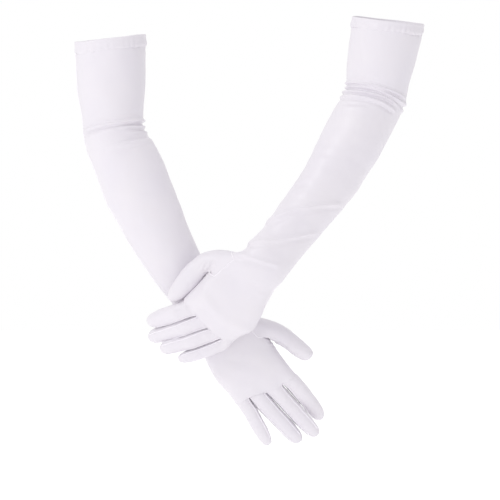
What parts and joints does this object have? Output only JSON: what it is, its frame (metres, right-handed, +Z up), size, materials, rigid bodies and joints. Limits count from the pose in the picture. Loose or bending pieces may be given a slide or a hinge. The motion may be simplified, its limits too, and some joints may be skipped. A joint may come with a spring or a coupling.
{
  "type": "pair of opera gloves",
  "caption": "Pair of long stretch-satin opera gloves, worn and crossed at the wrists, with hemmed arm openings and bending elbows, wrists, fingers and thumbs.",
  "frame": {"origin": "centre of the right glove's arm opening", "axes": "+Z up the hanging arms, -Y towards the viewer and out of the backs of the hands, +X from the right glove to the left glove"},
  "size_m": [0.4017, 0.1162, 0.4972],
  "materials": {
    "satin": "satin",
    "seam": "matte",
    "elastic": "matte"
  },
  "bodies": {
    "right_upper_sleeve": {"right_hem_band": "satin", "right_hem_facing": "satin", "right_hem_elastic": "elastic", "right_upper_sleeve_back": "satin", "right_upper_sleeve_palm_side": "satin", "right_upper_sleeve_outer_seam": "seam"},
    "right_forearm": {"right_forearm_back": "satin", "right_forearm_palm_side": "satin", "right_forearm_outer_seam": "seam"},
    "right_hand": {"right_hand_back": "satin", "right_hand_palm_side": "satin", "right_hand_outer_seam": "seam", "right_fourchette_index_middle": "satin", "right_fourchette_middle_ring": "satin", "right_fourchette_ring_little": "satin"},
    "right_thumb_base": {"right_thumb_base": "satin"},
    "right_thumb_tip": {"right_thumb_tip": "satin"},
    "right_index_base": {"right_index_base": "satin"},
    "right_index_tip": {"right_index_tip": "satin"},
    "right_middle_base": {"right_middle_base": "satin"},
    "right_middle_tip": {"right_middle_tip": "satin"},
    "right_ring_base": {"right_ring_base": "satin"},
    "right_ring_tip": {"right_ring_tip": "satin"},
    "right_little_base": {"right_little_base": "satin"},
    "right_little_tip": {"right_little_tip": "satin"},
    "left_upper_sleeve": {"left_hem_band": "satin", "left_hem_facing": "satin", "left_hem_elastic": "elastic", "left_upper_sleeve_back": "satin", "left_upper_sleeve_palm_side": "satin", "left_upper_sleeve_outer_seam": "seam"},
    "left_forearm": {"left_forearm_back": "satin", "left_forearm_palm_side": "satin", "left_forearm_outer_seam": "seam"},
    "left_hand": {"left_hand_back": "satin", "left_hand_palm_side": "satin", "left_hand_outer_seam": "seam", "left_fourchette_index_middle": "satin", "left_fourchette_middle_ring": "satin", "left_fourchette_ring_little": "satin"},
    "left_thumb_base": {"left_thumb_base": "satin"},
    "left_thumb_tip": {"left_thumb_tip": "satin"},
    "left_index_base": {"left_index_base": "satin"},
    "left_index_tip": {"left_index_tip": "satin"},
    "left_middle_base": {"left_middle_base": "satin"},
    "left_middle_tip": {"left_middle_tip": "satin"},
    "left_ring_base": {"left_ring_base": "satin"},
    "left_ring_tip": {"left_ring_tip": "satin"},
    "left_little_base": {"left_little_base": "satin"},
    "left_little_tip": {"left_little_tip": "satin"}
  },
  "joints": [
    {"name": "left_glove_lift", "type": "slide", "parent": "right_upper_sleeve", "child": "left_upper_sleeve", "axis": [0, -1, 0], "range_m": [0, 0.25]},
    {"name": "right_elbow_fold", "type": "hinge", "parent": "right_upper_sleeve", "child": "right_forearm", "pos_m": [0.0046, 0, -0.11], "axis": [0.8365, -0.5005, 0.2231], "range_deg": [0, 60]},
    {"name": "right_wrist_fold", "type": "hinge", "parent": "right_forearm", "child": "right_hand", "pos_m": [0.1207, 0.006, -0.3255], "axis": [0.8171, -0.0004, 0.5765], "range_deg": [0, 50]},
    {"name": "right_thumb_root", "type": "hinge", "parent": "right_hand", "child": "right_thumb_base", "pos_m": [0.178, 0.011, -0.333], "axis": [0.4931, -0.2809, 0.8234], "range_deg": [0, 40]},
    {"name": "right_thumb_middle_bend", "type": "hinge", "parent": "right_thumb_base", "child": "right_thumb_tip", "pos_m": [0.20996, 0.00969, -0.35258], "axis": [0.4633, -0.2787, 0.8413], "range_deg": [0, 40]},
    {"name": "right_index_knuckle", "type": "hinge", "parent": "right_hand", "child": "right_index_base", "pos_m": [0.203, 0.0135, -0.388], "axis": [0.935, 0.0132, 0.3545], "range_deg": [0, 55]},
    {"name": "right_index_middle_bend", "type": "hinge", "parent": "right_index_base", "child": "right_index_tip", "pos_m": [0.21998, 0.01836, -0.40973], "axis": [0.7997, -0.0899, 0.5936], "range_deg": [0, 55]},
    {"name": "right_middle_knuckle", "type": "hinge", "parent": "right_hand", "child": "right_middle_base", "pos_m": [0.18344, 0.01322, -0.39542], "axis": [0.935, 0.0132, 0.3545], "range_deg": [0, 55]},
    {"name": "right_middle_middle_bend", "type": "hinge", "parent": "right_middle_base", "child": "right_middle_tip", "pos_m": [0.20425, 0.01606, -0.42022], "axis": [0.7565, -0.0276, 0.6534], "range_deg": [0, 55]},
    {"name": "right_ring_knuckle", "type": "hinge", "parent": "right_hand", "child": "right_ring_base", "pos_m": [0.16444, 0.01296, -0.40262], "axis": [0.935, 0.0132, 0.3545], "range_deg": [0, 55]},
    {"name": "right_ring_middle_bend", "type": "hinge", "parent": "right_ring_base", "child": "right_ring_tip", "pos_m": [0.18441, 0.01517, -0.42727], "axis": [0.7613, -0.0172, 0.6482], "range_deg": [0, 55]},
    {"name": "right_little_knuckle", "type": "hinge", "parent": "right_hand", "child": "right_little_base", "pos_m": [0.1463, 0.0127, -0.4095], "axis": [0.935, 0.0132, 0.3545], "range_deg": [0, 55]},
    {"name": "right_little_middle_bend", "type": "hinge", "parent": "right_little_base", "child": "right_little_tip", "pos_m": [0.15966, 0.01451, -0.43173], "axis": [0.8528, -0.0031, 0.5222], "range_deg": [0, 55]},
    {"name": "left_elbow_fold", "type": "hinge", "parent": "left_upper_sleeve", "child": "left_forearm", "pos_m": [0.3047, 0.004, -0.069], "axis": [-0.5434, 0.8315, 0.1152], "range_deg": [0, 55]},
    {"name": "left_wrist_fold", "type": "hinge", "parent": "left_forearm", "child": "left_hand", "pos_m": [0.1748, -0.0535, -0.2622], "axis": [0.7601, 0.1964, -0.6194], "range_deg": [-40, 0]},
    {"name": "left_thumb_root", "type": "hinge", "parent": "left_hand", "child": "left_thumb_base", "pos_m": [0.131, -0.037, -0.254], "axis": [0.4136, -0.4449, -0.7943], "range_deg": [-30, 0]},
    {"name": "left_thumb_middle_bend", "type": "hinge", "parent": "left_thumb_base", "child": "left_thumb_tip", "pos_m": [0.09887, -0.03308, -0.27293], "axis": [0.4842, -0.4589, -0.7449], "range_deg": [-30, 0]},
    {"name": "left_index_knuckle", "type": "hinge", "parent": "left_hand", "child": "left_index_base", "pos_m": [0.1037, -0.0316, -0.3062], "axis": [0.6232, 0.1956, -0.7572], "range_deg": [-25, 0]},
    {"name": "left_index_middle_bend", "type": "hinge", "parent": "left_index_base", "child": "left_index_tip", "pos_m": [0.07779, -0.02674, -0.31563], "axis": [0.4349, 0.2981, -0.8497], "range_deg": [-25, 0]},
    {"name": "left_middle_knuckle", "type": "hinge", "parent": "left_hand", "child": "left_middle_base", "pos_m": [0.11557, -0.02787, -0.32062], "axis": [0.6232, 0.1956, -0.7572], "range_deg": [-25, 0]},
    {"name": "left_middle_middle_bend", "type": "hinge", "parent": "left_middle_base", "child": "left_middle_tip", "pos_m": [0.08549, -0.02223, -0.33157], "axis": [0.4082, 0.3059, -0.8601], "range_deg": [-25, 0]},
    {"name": "left_ring_knuckle", "type": "hinge", "parent": "left_hand", "child": "left_ring_base", "pos_m": [0.12709, -0.02426, -0.33462], "axis": [0.6232, 0.1956, -0.7572], "range_deg": [-25, 0]},
    {"name": "left_ring_middle_bend", "type": "hinge", "parent": "left_ring_base", "child": "left_ring_tip", "pos_m": [0.09752, -0.02148, -0.34598], "axis": [0.3631, 0.2869, -0.8864], "range_deg": [-25, 0]},
    {"name": "left_little_knuckle", "type": "hinge", "parent": "left_hand", "child": "left_little_base", "pos_m": [0.1381, -0.0208, -0.348], "axis": [0.6232, 0.1956, -0.7572], "range_deg": [-25, 0]},
    {"name": "left_little_middle_bend", "type": "hinge", "parent": "left_little_base", "child": "left_little_tip", "pos_m": [0.11438, -0.01944, -0.35856], "axis": [0.3855, 0.2406, -0.8908], "range_deg": [-25, 0]}
  ],
  "couplings": [
    {"joint": "right_thumb_middle_bend", "follows": "right_thumb_root", "ratio": 1},
    {"joint": "right_index_middle_bend", "follows": "right_index_knuckle", "ratio": 1},
    {"joint": "right_middle_middle_bend", "follows": "right_middle_knuckle", "ratio": 1},
    {"joint": "right_ring_middle_bend", "follows": "right_ring_knuckle", "ratio": 1},
    {"joint": "right_little_middle_bend", "follows": "right_little_knuckle", "ratio": 1},
    {"joint": "left_thumb_middle_bend", "follows": "left_thumb_root", "ratio": 1},
    {"joint": "left_index_middle_bend", "follows": "left_index_knuckle", "ratio": 1},
    {"joint": "left_middle_middle_bend", "follows": "left_middle_knuckle", "ratio": 1},
    {"joint": "left_ring_middle_bend", "follows": "left_ring_knuckle", "ratio": 1},
    {"joint": "left_little_middle_bend", "follows": "left_little_knuckle", "ratio": 1}
  ]
}
